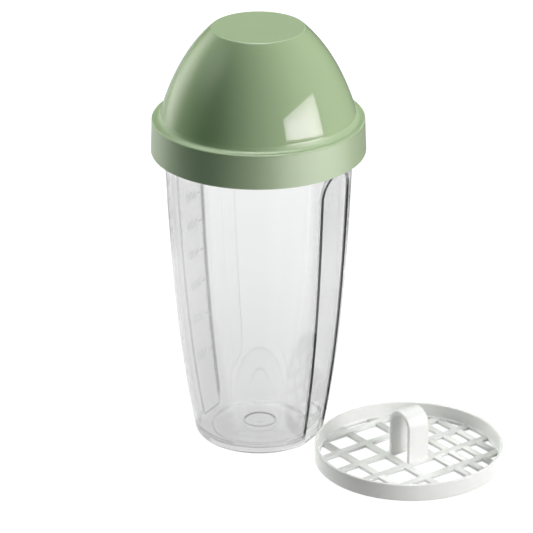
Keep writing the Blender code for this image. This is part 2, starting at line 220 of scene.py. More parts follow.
# Floor: how much brighter than its own shade the camera, the clear plastic and the reflections see it,
# with the distances and the cosines between which each lift grows or fades
FLOOR_REACH = 3.0
FLOOR_LEVEL = -0.0003
FLOOR_SHADE = 0.17
FLOOR_LIFT = 0.90
FAR_LIFT = 0.12
FAR_REACH = (0.30, 0.90)
CLEAR_LIFT = 0.30
CLEAR_FAR_LIFT = 0.12
CLEAR_REACH = (0.08, 0.32)
POOL_BEARING = 58.0
POOL_SPREAD = (0.55, 0.97)
POOL_LIFT = 1.0
POOL_DULL_SHARE = 0.20
BACK_BEARING = -142.0
BACK_SPREAD = (0.70, 0.96)
BACK_LIFT = 0.32
BACK_REACH = (0.24, 0.36)
NEAR_REACH = (0.18, 0.28)
NEAR_LIFT = 0.80

# Camera, from the photograph's perspective
CAMERA_DISTANCE = 1.6155
CAMERA_PITCH = 23.68
CAMERA_ROLL = -0.22
CAMERA_LENS = 236.4
SENSOR_WIDTH = 36.0
AIM_OFFSET = 0.0034
AIM_HEIGHT = 0.0828


def arc(centre, radius, start, end, steps=CORNER_STEPS):
    """Points of a round corner: centre + radius * (cos a, sin a) with the angle a from start to end."""
    angles = np.radians(np.linspace(start, end, steps + 1))
    return np.column_stack((centre[0] + radius * np.cos(angles), centre[1] + radius * np.sin(angles)))


def hold_flats(profile, loop=False):
    """Add a point close to both ends of each long straight stretch, so smooth shading keeps it flat."""
    after = np.roll(profile, -1, axis=0) if loop else np.vstack((profile[1:], profile[-1:]))
    points = []
    for point, following in zip(profile, after):
        points.append(point)
        length = np.hypot(*(following - point))
        if length > 4 * FLAT_MARGIN:
            along = (following - point) / length * FLAT_MARGIN
            points += [point + along, following - along]
    return np.array(points)


def wall_radius(height):
    """Outer radius of the cup's wall: an even taper mixed with 1 - (1 - t) ** 3, t from foot to collar."""
    share = np.clip(np.asarray(height) / WALL_HEIGHT, 0.0, 1.0)
    taper = EVEN_TAPER_SHARE * share + (1.0 - EVEN_TAPER_SHARE) * (1.0 - (1.0 - share) ** 3)
    return FOOT_RADIUS + (WALL_TOP_RADIUS - FOOT_RADIUS) * taper


def smoothstep(value):
    """0 below 0, 1 above 1 and 3 t ** 2 - 2 t ** 3 between."""
    share = np.clip(value, 0.0, 1.0)
    return share * share * (3.0 - 2.0 * share)


def skin(name, rings, ends="poles", attributes=None):
    """Closed mesh from rings of points, an array (ring, point, xyz), with quads between neighbours.

    With ends "poles" each end ring is closed by a fan to its middle, with "loop" the last ring joins the
    first. The signed volume, a sixth of the sum of a . (b x c), tells whether faces must be turned round.
    """
    count, around = rings.shape[:2]
    index = np.arange(count * around).reshape(count, around)
    lower = index if ends == "loop" else index[:-1]
    upper = np.roll(index, -1, axis=0) if ends == "loop" else index[1:]
    quads = np.stack((lower, np.roll(lower, -1, 1), np.roll(upper, -1, 1), upper), axis=-1).reshape(-1, 4)
    points = rings.reshape(-1, 3)
    fans = np.empty((0, 3), int)
    if ends == "poles":
        first, last = len(points), len(points) + 1
        points = np.vstack((points, rings[0].mean(axis=0), rings[-1].mean(axis=0)))
        start = np.stack((np.roll(index[0], -1), index[0], np.full(around, first)), axis=-1)
        stop = np.stack((index[-1], np.roll(index[-1], -1), np.full(around, last)), axis=-1)
        fans = np.vstack((start, stop))
    a, b, c, d = (points[quads[:, corner]] for corner in range(4))
    volume = np.einsum("ij,ij->", a, np.cross(b, c)) + np.einsum("ij,ij->", a, np.cross(c, d))
    if len(fans):
        e, f, g = (points[fans[:, corner]] for corner in range(3))
        volume += np.einsum("ij,ij->", e, np.cross(f, g))
    if volume < 0:
        quads = quads[:, ::-1]
        fans = fans[:, ::-1]
    mesh = bpy.data.meshes.new(name)
    mesh.from_pydata(points.tolist(), [], quads.tolist() + fans.tolist())
    mesh.polygons.foreach_set("use_smooth", np.ones(len(mesh.polygons), bool))
    for key, values in (attributes or {}).items():
        layer = mesh.attributes.new(key, "FLOAT", "POINT")
        padded = np.zeros(len(points), np.float32)
        padded[:values.size] = values.ravel()
        layer.data.foreach_set("value", padded)
    mesh.update()
    return mesh


def join_meshes(name, meshes):
    """One mesh that holds copies of several, each with its points and faces unchanged."""
    points, faces, offset = [], [], 0
    for mesh in meshes:
        points += [vertex.co[:] for vertex in mesh.vertices]
        faces += [[offset + corner for corner in polygon.vertices] for polygon in mesh.polygons]
        offset += len(mesh.vertices)
    joined = bpy.data.meshes.new(name)
    joined.from_pydata(points, [], faces)
    joined.polygons.foreach_set("use_smooth", np.ones(len(joined.polygons), bool))
    joined.update()
    return joined


def heading(bearing):
    """Level direction of a bearing in degrees, as x, y and z."""
    turn = math.radians(bearing)
    return math.sin(turn), -math.cos(turn), 0.0


def round_axis(radius, heights, angles, centre):
    """Rings about the upright axis through a centre, from a radius for each ring or each of its points.

    x = centre.x + radius * sin a, y = centre.y - radius * cos a, z = height.
    """
    x = centre.x + radius * np.sin(angles)[None, :]
    y = centre.y - radius * np.cos(angles)[None, :]
    z = np.repeat(heights[:, None], len(angles), axis=1)
    return np.stack((x, y, z), axis=-1)


def turned(profile, angles, centre):
    """Rings of a profile (radius, height) turned round the upright axis through a centre."""
    return round_axis(profile[:, 0][:, None], profile[:, 1], angles, centre)


def even_angles():
    """Angles once round, without the last, which is the first again."""
    return np.linspace(0.0, 2.0 * math.pi, AROUND, endpoint=False)


def add_piece(name, mesh, body, material):
    """Put a finished mesh into the scene with its material, riding on a body."""
    piece = bpy.data.objects.new(name, mesh)
    bpy.context.scene.collection.objects.link(piece)
    mesh.materials.clear()
    mesh.materials.append(material)
    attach(piece, body)
    return piece


class Channel:
    """One output of a shader node, used like a number: each operator adds a Math node."""

    def __init__(self, shading, socket):
        self.shading = shading
        self.socket = socket

    def combine(self, operation, first, second):
        """A Math node on two channels or numbers."""
        return self.shading.add("ShaderNodeMath", {"operation": operation}, {0: first, 1: second})

    def __add__(self, other):
        return self.combine("ADD", self, other)

    def __sub__(self, other):
        return self.combine("SUBTRACT", self, other)

    def __mul__(self, other):
        return self.combine("MULTIPLY", self, other)

    def __rsub__(self, other):
        return self.combine("SUBTRACT", other, self)

    __radd__ = __add__
    __rmul__ = __mul__


class Shading:
    """A material's node tree: one method adds any node, one sets the main shader's sockets."""

    def __init__(self, name, tree=None, surface="Principled BSDF"):
        self.material = None
        if tree is None:
            self.material = bpy.data.materials.new(name)
            self.material.use_nodes = True
        self.tree = tree or self.material.node_tree
        self.surface = self.tree.nodes[surface]

    def add(self, kind, settings=None, inputs=None, output=0):
        """Add a node: its settings first, then a value or a link for each named socket."""
        node = self.tree.nodes.new(kind)
        for key, value in (settings or {}).items():
            setattr(node, key, value)
        self.feed(node, inputs or {})
        return Channel(self, node.outputs[output])

    def feed(self, node, inputs):
        """Set sockets of a node to values, or link them to channels."""
        for key, value in inputs.items():
            if isinstance(value, Channel):
                self.tree.links.new(value.socket, node.inputs[key])
            else:
                node.inputs[key].default_value = value

    def place(self):
        """Object coordinates, which are the model's own because every object stands at the origin."""
        return self.add("ShaderNodeTexCoord", output="Object")

    def noise(self, scale, detail=2.0, rough=0.5):
        """Noise from 0 to 1, with its scale in waves for each metre."""
        inputs = {"Vector": self.place(), "Scale": scale, "Detail": detail, "Roughness": rough}
        return self.add("ShaderNodeTexNoise", None, inputs, "Fac")

    def ramp(self, value, low, high):
        """0 below the low value, 1 above the high one and a smooth step between."""
        settings = {"interpolation_type": "SMOOTHSTEP"}
        return self.add("ShaderNodeMapRange", settings, {"Value": value, "From Min": low, "From Max": high})

    def mix(self, share, first, second):
        """Colour that goes from the first to the second as the share goes from 0 to 1."""
        settings = {"data_type": "RGBA"}
        return self.add("ShaderNodeMix", settings, {0: share, 6: first, 7: second}, 2)

    def bump(self, height, distance):
        """Normal from a height channel, whose full step is the distance."""
        inputs = {"Height": height, "Distance": distance, "Strength": 1.0}
        return self.add("ShaderNodeBump", None, inputs)

    def vector(self, operation, first, second=None, output="Vector"):
        """A Vector Math node on one or two vectors."""
        inputs = {0: first} if second is None else {0: first, 1: second}
        return self.add("ShaderNodeVectorMath", {"operation": operation}, inputs, output)

    def ray(self, kind):
        """What the light path's node says about the ray, such as whether it comes from the camera."""
        return self.add("ShaderNodeLightPath", output=kind)

    def clear_sight(self):
        """1 for a ray that has passed through clear plastic, even if mirrored after that, else 0."""
        passed = self.ramp(self.ray("Transmission Depth"), 0.0, 1.0)
        return self.ray("Is Transmission Ray") + self.ray("Is Glossy Ray") * passed

    def finish(self, **sockets):
        """Set the main shader's sockets, named with _ for a space, and return the material."""
        self.feed(self.surface, {key.replace("_", " "): value for key, value in sockets.items()})
        return self.material


def clear_plastic():
    """Clear moulded plastic: glossy, mostly see-through, dark and opaque along the cup's painted shade."""
    shading = Shading("clear_plastic")
    # painted shade: this attribute darkens the colour and makes the plastic opaque along the cup's dark
    # lines
    line = shading.add("ShaderNodeAttribute", {"attribute_name": "painted_line_shade"}, output="Fac")
    flow = shading.noise(scale=60.0)
    return shading.finish(
        Base_Color=shading.mix(line, CLEAR_COLOUR, PAINTED_SHADE_COLOUR),
        Roughness=0.02 + flow * 0.02,
        IOR=1.49,
        Transmission_Weight=1.0,
        Alpha=CLEAR_ALPHA + line * (1.0 - CLEAR_ALPHA),
    )


def relief_plastic():
    """The raised marks of the volume scale: the cup's own plastic, a little frosted."""
    shading = Shading("relief_plastic")
    grain = shading.noise(scale=3000.0)
    return shading.finish(
        Base_Color=RELIEF_COLOUR,
        Roughness=0.16 + grain * 0.10,
        IOR=1.49,
        Transmission_Weight=0.92,
    )


def green_plastic():
    """Pale green plastic: a glossy dome, with a fine satin grain on the skirt, ledge and flat top.

    A trace of green glow stands for the light that has passed through the thin wall.
    """
    shading = Shading("green_plastic")
    height = shading.add("ShaderNodeSeparateXYZ", None, {"Vector": shading.place()}, "Z")
    skirt = 1.0 - shading.ramp(height, LEDGE_HEIGHT - SKIRT_BAND[0], LEDGE_HEIGHT - SKIRT_BAND[1])
    ledge = 1.0 - shading.ramp(height, LEDGE_HEIGHT + LEDGE_BAND[0], LEDGE_HEIGHT + LEDGE_BAND[1])
    top = shading.ramp(height, TOP_HEIGHT - TOP_BAND[0], TOP_HEIGHT - TOP_BAND[1])
    satin = ledge + top
    cloud = shading.noise(scale=35.0)
    grain = shading.noise(scale=1500.0, detail=3.0, rough=0.6)
    return shading.finish(
        Base_Color=shading.mix(cloud, *GREEN_COLOURS),
        Roughness=0.05 + satin * (0.34 + grain * 0.08),
        Normal=shading.bump(grain * satin, GREEN_GRAIN),
        IOR=1.5,
        Coat_Weight=skirt,
        Coat_Roughness=0.36,
        Coat_IOR=2.2,
        Emission_Color=GREEN_GLOW,
        Emission_Strength=0.022,
    )


def white_plastic():
    """Warm white plastic with a satin skin and the faint unevenness of a moulding."""
    shading = Shading("white_plastic")
    cloud = shading.noise(scale=45.0)
    grain = shading.noise(scale=1800.0, detail=2.0, rough=0.6)
    return shading.finish(
        Base_Color=shading.mix(cloud, *WHITE_COLOURS),
        Roughness=0.34 + grain * 0.10,
        Normal=shading.bump(grain, WHITE_GRAIN),
        IOR=1.5,
    )


def panel_angles():
    """Angles of the cup's columns: even ones, and close ones across and beside each grip panel."""
    angles = np.arange(0.0, 360.0, COLUMN_STEP)
    face = np.linspace(-FACE_REACH, FACE_REACH, FACE_COLUMNS)
    close = np.arange(EDGE_START, EDGE_MIDDLE, EDGE_CLOSE_STEP)
    edge = np.concatenate((close, np.arange(EDGE_MIDDLE, EDGE_END, EDGE_WIDE_STEP)))
    for centre in (PANEL_BEARING, PANEL_BEARING + 180.0):
        away = (angles - centre + 180.0) % 360.0 - 180.0
        plain = angles[np.abs(away) > PANEL_CLEARING]
        angles = np.concatenate((plain, centre + face, centre + edge, centre - edge))
    return np.radians(np.unique(np.round(angles % 360.0, 4)))


def panel_cover(angles, heights, widening, step):
    """How far each point lies in a grip panel, 0 outside and 1 on its flat, and its distance to the edge.

    Across the panel the place is R sin a. The edge distance is the half width less that place, and above
    the spring line the radius of the arch less the distance to its centre.
    """
    radius = wall_radius(heights)[:, None]
    half_width = radius * math.sin(math.radians(PANEL_HALF_ANGLE)) + widening
    arch = wall_radius(PANEL_SPRING) * math.sin(math.radians(PANEL_HALF_ANGLE)) + widening
    cover = np.zeros((len(heights), len(angles)))
    nearest = np.full(cover.shape, FAR_OUTSIDE)
    for centre in (PANEL_BEARING, PANEL_BEARING + 180.0):
        away = angles - math.radians(centre)
        in_front = np.cos(away)[None, :] > PANEL_SIDE_COSINE
        across = radius * np.sin(away)[None, :]
        rise = np.maximum(heights - PANEL_SPRING, 0.0)[:, None]
        inside = np.where(rise > 0.0, arch - np.hypot(across, rise), half_width - np.abs(across))
        inside = np.where(in_front, inside, FAR_OUTSIDE)
        cover = np.maximum(cover, smoothstep(inside / step + 0.5))
        nearest = np.maximum(nearest, inside)
    return cover, nearest


def pressed(profile, angles, inset, widening, step):
    """Rings of the cup's wall with the grip panels pressed in.

    Inside a panel the radius is at most D / cos a, a flat face at the distance D = R cos h - depth - inset
    from the axis, where a is the angle from the panel's middle and h its half angle.
    """
    heights = profile[:, 1]
    cover, nearest = panel_cover(angles, heights, widening, step)
    flat = wall_radius(heights)[:, None] * math.cos(math.radians(PANEL_HALF_ANGLE)) - PANEL_DEPTH - inset
    near = np.cos(angles - math.radians(PANEL_BEARING))
    far = np.cos(angles - math.radians(PANEL_BEARING + 180.0))
    face = flat / np.maximum(np.maximum(near, far), PANEL_SIDE_COSINE)[None, :]
    plain = np.repeat(profile[:, 0][:, None], len(angles), axis=1)
    radius = plain + cover * (np.minimum(plain, face) - plain)
    return round_axis(radius, heights, angles, CUP_AXIS), nearest


def wall_stretch(start, end):
    """Heights up the wall: wide steps below the arch of the grip panels and close ones across it."""
    arch_start = PANEL_SPRING - ARCH_MARGIN
    low = np.linspace(start, arch_start, LOW_WALL_ROWS, endpoint=False)
    high = np.linspace(arch_start, end, ARCH_ROWS)
    return np.concatenate((low, high))


def outside_profile():
    """Outside of the cup from the middle of its underside to the top of its lip, (radius, height)."""
    foot_centre = float(wall_radius(FOOT_EDGE)) - FOOT_EDGE
    recess = foot_centre - FOOT_RING_WIDTH
    pip = FOOT_RECESS_DEPTH - GATE_PIP_HEIGHT
    pip_corner = (GATE_PIP_RADIUS - GATE_PIP_ROUNDING, pip + GATE_PIP_ROUNDING)
    rounding = FOOT_RECESS_ROUNDING
    underside = np.vstack((
        [(GATE_PIP_RADIUS / 4, pip)],
        arc(pip_corner, GATE_PIP_ROUNDING, -90.0, 0.0, steps=3),
        [(GATE_PIP_RADIUS, FOOT_RECESS_DEPTH)],
        arc((recess - rounding, FOOT_RECESS_DEPTH - rounding), rounding, 90.0, 0.0),
        arc((recess + rounding / 2, rounding / 2), rounding / 2, 180.0, 270.0, steps=4),
        arc((foot_centre, FOOT_EDGE), FOOT_EDGE, -90.0, 0.0, steps=12),
    ))
    heights = wall_stretch(FOOT_EDGE, WALL_HEIGHT)[1:]
    parts = [hold_flats(underside), np.column_stack((wall_radius(heights), heights))]
    shoulder = WALL_HEIGHT + COLLAR_RADIUS - WALL_TOP_RADIUS
    parts.append([(COLLAR_RADIUS, shoulder)])
    lip = (COLLAR_RADIUS - LIP_ROUNDING, RIM_HEIGHT - LIP_ROUNDING)
    parts.append(arc(lip, LIP_ROUNDING, 0.0, 90.0))
    return np.vstack(parts)


def inside_profile():
    """Inside of the cup from its mouth down to the middle of its floor, (radius, height)."""
    seat_height = WALL_HEIGHT + SEAT_RISE
    wall_inner = WALL_TOP_RADIUS - CUP_WALL
    fillet_height = FLOOR_HEIGHT + FLOOR_FILLET
    fillet_centre = float(wall_radius(fillet_height)) - CUP_WALL - FLOOR_FILLET
    heights = wall_stretch(fillet_height, WALL_HEIGHT)[::-1]
    bead = FLOOR_BEAD_WIDTH / 2
    parts = [
        [(MOUTH_RADIUS, RIM_HEIGHT)],
        [(MOUTH_RADIUS, seat_height)],
        arc((wall_inner + SEAT_ROUNDING, seat_height - SEAT_ROUNDING), SEAT_ROUNDING, 90.0, 180.0),
        np.column_stack((wall_radius(heights) - CUP_WALL, heights)),
    ]
    swell = np.linspace(1.0, -1.0, BEAD_POINTS)
    crest = FLOOR_HEIGHT + FLOOR_BEAD_HEIGHT * (0.5 + 0.5 * np.cos(math.pi * swell))
    floor = np.vstack((
        arc((fillet_centre, fillet_height), FLOOR_FILLET, 0.0, -90.0, steps=9)[1:],
        np.column_stack((FLOOR_BEAD_RADIUS + bead * swell, crest)),
        [(FLOOR_BEAD_RADIUS / 4, FLOOR_HEIGHT)],
    ))
    return np.vstack(parts + [hold_flats(floor)])


def painted_line_shade(distance, low, high):
    """1 where a distance lies between two limits and 0 beyond them, with a smooth step at both."""
    beyond = np.maximum(low - distance, distance - high)
    return 1.0 - smoothstep(beyond / SHADE_BLUR)


def painted_cup_shade(angles, outer_edge, inner_edge):
    """Painted shade of the dark lines, 0 to 1, at each point of the cup's outer and inner rings.

    It follows both edges of the near grip panel, the far panel's edge towards the back, the front of the
    foot and the back of the bead on the floor, and stands in for the darkness of refraction in the steps
    and the bead and for the contact shadow at the foot.
    """
    outside, inside = outside_profile(), inside_profile()
    away = angles - math.radians(PANEL_BEARING)
    front = (np.cos(away) > 0.0)[None, :]
    back = (1.0 - front) * (np.sin(away) > 0.0)[None, :]
    side = (0.5 + 0.5 * np.sign(np.sin(away)))[None, :]
    low = NEAR_LEFT_SHADE[0] * (1.0 - side) + NEAR_RIGHT_SHADE[0] * side
    high = NEAR_LEFT_SHADE[1] * (1.0 - side) + NEAR_RIGHT_SHADE[1] * side
    outer = front * painted_line_shade(outer_edge, low, high) + back * painted_line_shade(outer_edge, *FAR_SHADE)
    wall = outside[:, 0] > float(wall_radius(FOOT_EDGE)) - FOOT_EDGE
    outer *= (wall * (outside[:, 1] > FOOT_EDGE))[:, None]
    foot = FOOT_SHADE_SHARE * wall * painted_line_shade(outside[:, 1], *FOOT_SHADE)
    ahead = smoothstep(np.cos(angles) / COSINE_BLUR)
    outer = np.maximum(outer, foot[:, None] * ahead[None, :])
    inner = INSIDE_SHADE_SHARE * back * painted_line_shade(inner_edge, *FAR_SHADE)
    inner *= (inside[:, 1] > FLOOR_HEIGHT + FLOOR_FILLET)[:, None]
    bead = painted_line_shade(inside[:, 0] - FLOOR_BEAD_RADIUS, *BEAD_SHADE)
    behind = smoothstep((BEHIND_LIMIT - np.cos(angles)) / COSINE_BLUR)
    inner = np.maximum(inner, bead[:, None] * behind[None, :])
    return np.concatenate((outer, inner))


def build_cup(material):
    """The clear cup: outside and inside rings in one closed skin, with the grip panels in both walls."""
    angles = panel_angles()
    outer, outer_edge = pressed(outside_profile(), angles, 0.0, 0.0, PANEL_STEP)
    inner, inner_edge = pressed(inside_profile(), angles, CUP_WALL, PANEL_SPREAD_INSIDE, PANEL_STEP_INSIDE)
    # painted shade, kept in a mesh attribute: dark lines at the panel edges, the foot and the bead
    shade = painted_cup_shade(angles, outer_edge, inner_edge)
    mesh = skin("cup_shell", np.concatenate((outer, inner)), "poles", {"painted_line_shade": shade})
    shell = add_piece("cup_shell", mesh, "cup", material)
    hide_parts("cup")
    shell.visible_shadow = False
    shell.visible_diffuse = False


def on_panel(across, up, out):
    """Points on the far grip panel's outer face, from places across it, heights and a rise out of it.

    Each is the axis + (D + rise) * outward + across * sideways + height * up, with D = R cos h - depth.
    """
    bearing = math.radians(PANEL_BEARING + 180.0)
    outward = np.array(heading(PANEL_BEARING + 180.0))
    sideways = np.array((math.cos(bearing), math.sin(bearing), 0.0))
    flat = wall_radius(up) * math.cos(math.radians(PANEL_HALF_ANGLE)) - PANEL_DEPTH
    points = np.array(CUP_AXIS)[None, :] * (1.0, 1.0, 0.0) + (flat + out)[:, None] * outward
    return points + np.asarray(across)[:, None] * sideways + np.asarray(up)[:, None] * (0.0, 0.0, 1.0)


def tick_mesh(name, start, length, height):
    """One raised tick: an ellipse carried along its length with rounded ends, its inner half in the wall.

    A point of a ring is width / 2 * cos a up and relief * sin a out, both times the ring's size share.
    """
    turn = np.radians(np.linspace(0.0, 360.0, TICK_POINTS, endpoint=False))
    rings = []
    for along, grow in zip(TICK_PLACE_SHARES, TICK_SIZE_SHARES):
        across = np.full(len(turn), start + length * along)
        up = height + TICK_WIDTH / 2 * grow * np.cos(turn)
        out = RELIEF * grow * np.sin(turn)
        rings.append(on_panel(across, up, out))
    return skin(name, np.array(rings))


def number_mesh(text, start, height):
    """A plain number as a mesh, bent onto the far grip panel and standing out by the relief."""
    curve = bpy.data.curves.new(f"number_{text}", "FONT")
    curve.body = text
    curve.size = NUMBER_HEIGHT / DIGIT_SHARE
    curve.extrude = NUMBER_RELIEF
    curve.align_y = "CENTER"
    holder = bpy.data.objects.new(f"number_{text}", curve)
    bpy.context.scene.collection.objects.link(holder)
    bpy.context.view_layer.update()
    graph = bpy.context.evaluated_depsgraph_get()
    mesh = bpy.data.meshes.new_from_object(holder.evaluated_get(graph))
    flat = np.array([vertex.co[:] for vertex in mesh.vertices])
    bent = on_panel(start + flat[:, 0], height + flat[:, 1], flat[:, 2])
    mesh.vertices.foreach_set("co", bent.ravel())
    mesh.update()
    bpy.data.objects.remove(holder, do_unlink=True)
    return mesh


def scale_heights():
    """Heights of the ticks, at equal steps of the volume below them, the sum of pi r ** 2 dz."""
    heights = np.linspace(FLOOR_HEIGHT, WALL_HEIGHT, VOLUME_SLICES)
    area = math.pi * (wall_radius(heights) - CUP_WALL) ** 2
    volume = np.concatenate(([0.0], np.cumsum((area[1:] + area[:-1]) / 2 * np.diff(heights))))
    return np.interp(SCALE_START + SCALE_STEP * np.arange(SCALE_TICKS), volume, heights)


def build_scale(material):
    """Volume scale on the far grip panel: ticks from its edge, every second one longer and numbered."""
    ticks, numbers = [], []
    for index, height in enumerate(scale_heights()):
        numbered = index % 2 == 1
        edge = -float(wall_radius(height)) * math.sin(math.radians(PANEL_HALF_ANGLE)) - SCALE_OVERLAP
        length = LONG_TICK if numbered else SHORT_TICK
        ticks.append(tick_mesh(f"tick_{index}", edge, length, height))
        if numbered:
            text = str((index + 1) // 2 * NUMBER_STEP)
            numbers.append(number_mesh(text, edge + length + NUMBER_GAP, height))
    for name, meshes in (("scale_ticks", ticks), ("scale_numbers", numbers)):
        add_piece(name, join_meshes(name, meshes), "cup", material)


def dome_curve(steps=48):
    """Outer outline of the dome from its top to its foot, a quadratic curve whose foot leans inwards.

    (1 - t) ** 2 * start + 2 t (1 - t) * pull + t ** 2 * end, with the pull point up the lean of the foot.
    """
    lean = math.radians(DOME_LEAN)
    foot = LEDGE_HEIGHT + DOME_FILLET * (1.0 - math.sin(lean))
    slope = math.radians(LID_TOP_SLOPE)
    start = np.array((LID_TOP_RADIUS, TOP_HEIGHT - LID_TOP_ROUNDING * (1.0 - math.cos(slope))))
    rise = (start[1] - foot) * DOME_FULLNESS_SHARE
    pull = np.array((DOME_RADIUS - rise * math.tan(lean), foot + rise))
    end = np.array((DOME_RADIUS, foot))
    share = np.linspace(0.0, 1.0, steps + 1)[:, None]
    return (1.0 - share) ** 2 * start + 2.0 * share * (1.0 - share) * pull + share ** 2 * end


def inset(curve, distance):
    """Move an outline inwards, square to its direction at each point."""
    along = np.gradient(curve, axis=0)
    along /= np.hypot(along[:, 0], along[:, 1])[:, None]
    return curve + np.column_stack((along[:, 1], -along[:, 0])) * distance


def lid_profile():
    """Section of the lid from the middle of its top, down the outside and back up the inside."""
    dome = dome_curve()
    underside = LEDGE_HEIGHT - LEDGE_THICKNESS
    skirt_inner = SKIRT_FOOT_RADIUS - SKIRT_DRAFT - SKIRT_WALL
    shoulder = SKIRT_FOOT_RADIUS - SKIRT_DRAFT - SKIRT_ROUNDING
    hem = SKIRT_FOOT_RADIUS - SKIRT_ROUNDING
    plug = MOUTH_RADIUS - FIT_GAP
    plug_foot = RIM_HEIGHT - PLUG_DEPTH
    fillet = (DOME_RADIUS + DOME_FILLET * math.cos(math.radians(DOME_LEAN)), LEDGE_HEIGHT + DOME_FILLET)
    slope = math.radians(LID_TOP_SLOPE)
    top_edge = (dome[0, 0] - LID_TOP_ROUNDING * math.sin(slope), TOP_HEIGHT - LID_TOP_ROUNDING)
    inner_dome = inset(dome, DOME_WALL)
    inner_dome = inner_dome[inner_dome[:, 1] < TOP_HEIGHT - DOME_WALL - FLAT_MARGIN]
    parts = [
        [(LID_TOP_RADIUS / 4, TOP_HEIGHT)],
        arc(top_edge, LID_TOP_ROUNDING, 90.0, 90.0 - LID_TOP_SLOPE)[:-1],
        dome,
        arc(fillet, DOME_FILLET, 180.0 + DOME_LEAN, 270.0, steps=8)[1:],
        arc((shoulder, LEDGE_HEIGHT - SKIRT_ROUNDING), SKIRT_ROUNDING, 90.0, 0.0),
        arc((hem, SKIRT_FOOT + SKIRT_ROUNDING), SKIRT_ROUNDING, 0.0, -90.0),
        [(skirt_inner, SKIRT_FOOT), (skirt_inner, underside), (plug, underside), (plug, plug_foot)],
        [(plug - PLUG_WALL, plug_foot), (plug - PLUG_WALL, underside)],
        inner_dome[::-1],
        [(inner_dome[0, 0] - DOME_WALL / 2, TOP_HEIGHT - DOME_WALL), (DOME_WALL, TOP_HEIGHT - DOME_WALL)],
    ]
    return hold_flats(np.vstack(parts))


def build_lid(material):
    """The green lid as one turned closed skin."""
    mesh = skin("lid_shell", turned(lid_profile(), even_angles(), CUP_AXIS))
    shell = add_piece("lid_shell", mesh, "lid", material)
    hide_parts("lid")


def on_sieve(points):
    """Turn points of the sieve's own plan, x along its rows, to where the sieve lies."""
    turn = math.radians(GRID_BEARING)
    x = SIEVE_AXIS.x + points[..., 0] * math.cos(turn) - points[..., 1] * math.sin(turn)
    y = SIEVE_AXIS.y + points[..., 0] * math.sin(turn) + points[..., 1] * math.cos(turn)
    return np.stack((x, y, points[..., 2]), axis=-1)


def rounded_rectangle(width, height, rounding, steps=3):
    """Outline of a rectangle about the origin with round corners, with points that hold its flats."""
    half_width, half_height = width / 2 - rounding, height / 2 - rounding
    corners = [
        arc((half_width, -half_height), rounding, -90.0, 0.0, steps),
        arc((half_width, half_height), rounding, 0.0, 90.0, steps),
        arc((-half_width, half_height), rounding, 90.0, 180.0, steps),
        arc((-half_width, -half_height), rounding, 180.0, 270.0, steps),
    ]
    return hold_flats(np.vstack(corners), loop=True)


def bar_mesh(name, start, end, width, thickness):
    """A grid bar: a rounded rectangle, width by thickness, carried from a start to an end point."""
    section = rounded_rectangle(width, thickness, GRID_ROUNDING)
    start, end = np.array(start), np.array(end)
    along = (end - start) / np.hypot(*(end - start))
    side = np.array((-along[1], along[0]))
    rings = []
    for centre in (start, end):
        plan = centre[None, :] + section[:, 0][:, None] * side[None, :]
        rings.append(np.column_stack((plan, GRID_THICKNESS / 2 + section[:, 1])))
    return skin(name, on_sieve(np.array(rings)))


def grid_columns():
    """Spans of the grid's columns: coarse on one half, one wide one under the grip, fine on the other."""
    left = -COARSE_OPENING / 2
    right = left + CENTRE_OPENING
    spans = [(left, right)]
    coarse_pitch = COARSE_OPENING + GRID_BAR
    for column in range(1, math.ceil(SIEVE_RADIUS / coarse_pitch) + 1):
        low = left - column * coarse_pitch
        spans.append((low, low + COARSE_OPENING))
    first = right + GRID_BAR
    fine_pitch = FINE_OPENING + GRID_FINE_BAR
    for column in range(math.ceil((SIEVE_RADIUS - first) / fine_pitch)):
        low = first + column * fine_pitch
        spans.append((low, low + FINE_OPENING))
    return sorted(spans)


def grid_rows():
    """Spans of the grid's rows, one of them centred under the grip."""
    pitch = ROW_OPENING + GRID_BAR
    count = math.ceil(SIEVE_RADIUS / pitch)
    centres = [row * pitch for row in range(-count, count + 1)]
    return [(centre - ROW_OPENING / 2, centre + ROW_OPENING / 2) for centre in centres]


def bars_between(spans, border, upright):
    """One bar in each gap between neighbouring spans, cut to length where it meets the grid's border."""
    bars = []
    for (_, low), (high, _) in zip(spans, spans[1:]):
        middle, width = (low + high) / 2, high - low
        if abs(middle) > border:
            continue
        reach = math.sqrt(border ** 2 - middle ** 2) + GRID_BORDER / 2
        ends = ((middle, -reach), (middle, reach)) if upright else ((-reach, middle), (reach, middle))
        thickness = GRID_THICKNESS if upright else GRID_THICKNESS - 2 * FLUSH_GAP
        bars.append(bar_mesh("bar", *ends, width, thickness))
    return bars


def closed_corners(border):
    """Thin webs that fill the grid's cells at the border which are too small to be opened.

    A web spans a row's width; along the column its edge follows the border, sqrt(reach ** 2 - x ** 2).
    """
    webs = []
    reach = border + GRID_BORDER / 2
    low, high = 2 * FLUSH_GAP, GRID_THICKNESS - 2 * FLUSH_GAP
    for row in grid_rows():
        for column in grid_columns():
            near = [max(span[0], -span[1], 0.0) for span in (row, column)]
            distance = math.hypot(*near)
            if distance + SMALLEST_OPENING <= border or distance >= border:
                continue
            side = 1.0 if column[0] + column[1] > 0 else -1.0
            inner = near[1] - GRID_ROUNDING
            limit = math.sqrt(reach ** 2 - inner ** 2)
            start, stop = max(row[0] - GRID_ROUNDING, -limit), min(row[1] + GRID_ROUNDING, limit)
            x = np.linspace(start, stop, WEB_POINTS)
            edge = np.sqrt(np.maximum(reach ** 2 - x ** 2, inner ** 2))
            outer = np.minimum(edge, max(abs(column[0]), abs(column[1])) + GRID_ROUNDING)
            near_edge = np.full(WEB_POINTS, inner)
            plan = np.column_stack((near_edge, outer, outer, near_edge)) * side
            levels = np.tile((low, low, high, high), (WEB_POINTS, 1))
            rings = np.stack((np.repeat(x[:, None], 4, axis=1), plan, levels), axis=-1)
            webs.append(skin("web", on_sieve(rings)))
    return webs


